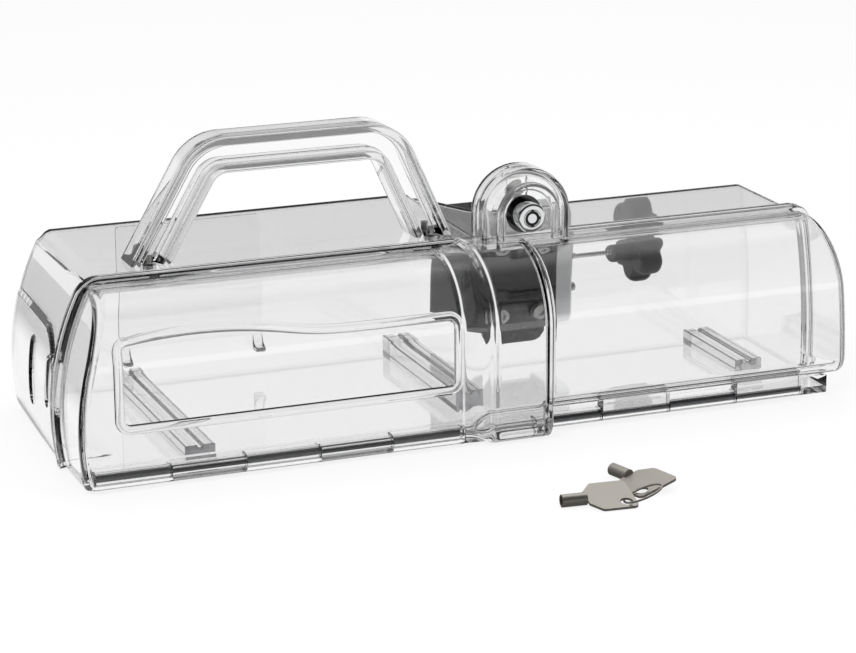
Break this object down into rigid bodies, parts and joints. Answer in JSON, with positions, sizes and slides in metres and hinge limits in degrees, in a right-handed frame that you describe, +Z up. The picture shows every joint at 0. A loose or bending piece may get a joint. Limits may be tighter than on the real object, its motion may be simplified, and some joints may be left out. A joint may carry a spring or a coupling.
{
  "type": "infusion pump lock box",
  "caption": "Clear moulded lock box for an infusion pump, with a carry handle, a hinged cover closed by a tubular cam lock, a pole clamp and keys on a ring",
  "frame": {"origin": "on the underside of the case, under the seam between the two shells, at the middle of the hinge", "axes": "X along the hinge to the right, Y from the front to the back, Z up"},
  "size_m": [0.4566, 0.3058, 0.168],
  "materials": {
    "clear_polycarbonate": "clear moulded polycarbonate, polished",
    "black_nylon": "moulded glass-filled nylon",
    "black_rubber": "moulded rubber pad",
    "satin_aluminium": "tumbled and anodised aluminium",
    "bright_steel": "zinc plated steel",
    "dark_steel": "stainless steel rod",
    "chrome_plate": "chrome plated lock",
    "nickel_plate": "nickel plated pressed steel"
  },
  "bodies": {
    "case": {"rear_shell": "clear_polycarbonate", "hinge_pin": "dark_steel", "carry_handle": "clear_polycarbonate", "handle_screws": "bright_steel", "left_rail": "clear_polycarbonate", "middle_rail": "clear_polycarbonate", "right_rail": "clear_polycarbonate", "pump_guide": "clear_polycarbonate", "clamp_body": "black_nylon", "clamp_end_plate": "satin_aluminium", "end_plate_screws": "bright_steel", "clamp_fixed_pad": "black_rubber", "clamp_screws": "bright_steel", "clamp_washers": "bright_steel"},
    "cover": {"front_cover": "clear_polycarbonate", "lock_barrel": "chrome_plate", "lock_washer": "bright_steel", "lock_nut": "bright_steel"},
    "lock_core": {"lock_plug": "chrome_plate", "lock_cam": "bright_steel", "cam_screw": "bright_steel"},
    "jaw": {"clamp_jaw": "black_nylon", "clamp_jaw_pad": "black_rubber"},
    "spindle": {"clamp_spindle": "bright_steel", "jaw_circlip": "dark_steel", "clamp_knob": "black_nylon", "knob_cap": "black_nylon"},
    "keys": {"key_1_bow": "nickel_plate", "key_1_tube": "nickel_plate", "key_2_bow": "nickel_plate", "key_2_tube": "nickel_plate", "key_ring": "nickel_plate"}
  },
  "joints": [
    {"name": "cover_hinge", "type": "hinge", "parent": "case", "child": "cover", "pos_m": [0, -0.0406, 0.0063], "axis": [1, 0, 0], "range_deg": [0, 85]},
    {"name": "lock_turn", "type": "hinge", "parent": "cover", "child": "lock_core", "pos_m": [0.049, 0, 0.118], "axis": [0, 1, 0], "range_deg": [0, 90]},
    {"name": "jaw_slide", "type": "slide", "parent": "case", "child": "jaw", "axis": [1, 0, 0], "range_m": [-0.011, 0]},
    {"name": "spindle_turn", "type": "hinge", "parent": "jaw", "child": "spindle", "pos_m": [0.12, 0.105, 0.063], "axis": [1, 0, 0], "range_deg": [-1980, 0]},
    {"name": "keys_lift", "type": "slide", "parent": "case", "child": "keys", "axis": [0, 0, 1], "range_m": [0, 0.1]}
  ],
  "couplings": [
    {"joint": "jaw_slide", "follows": "spindle_turn", "m_per_rad": 0.00031831}
  ]
}
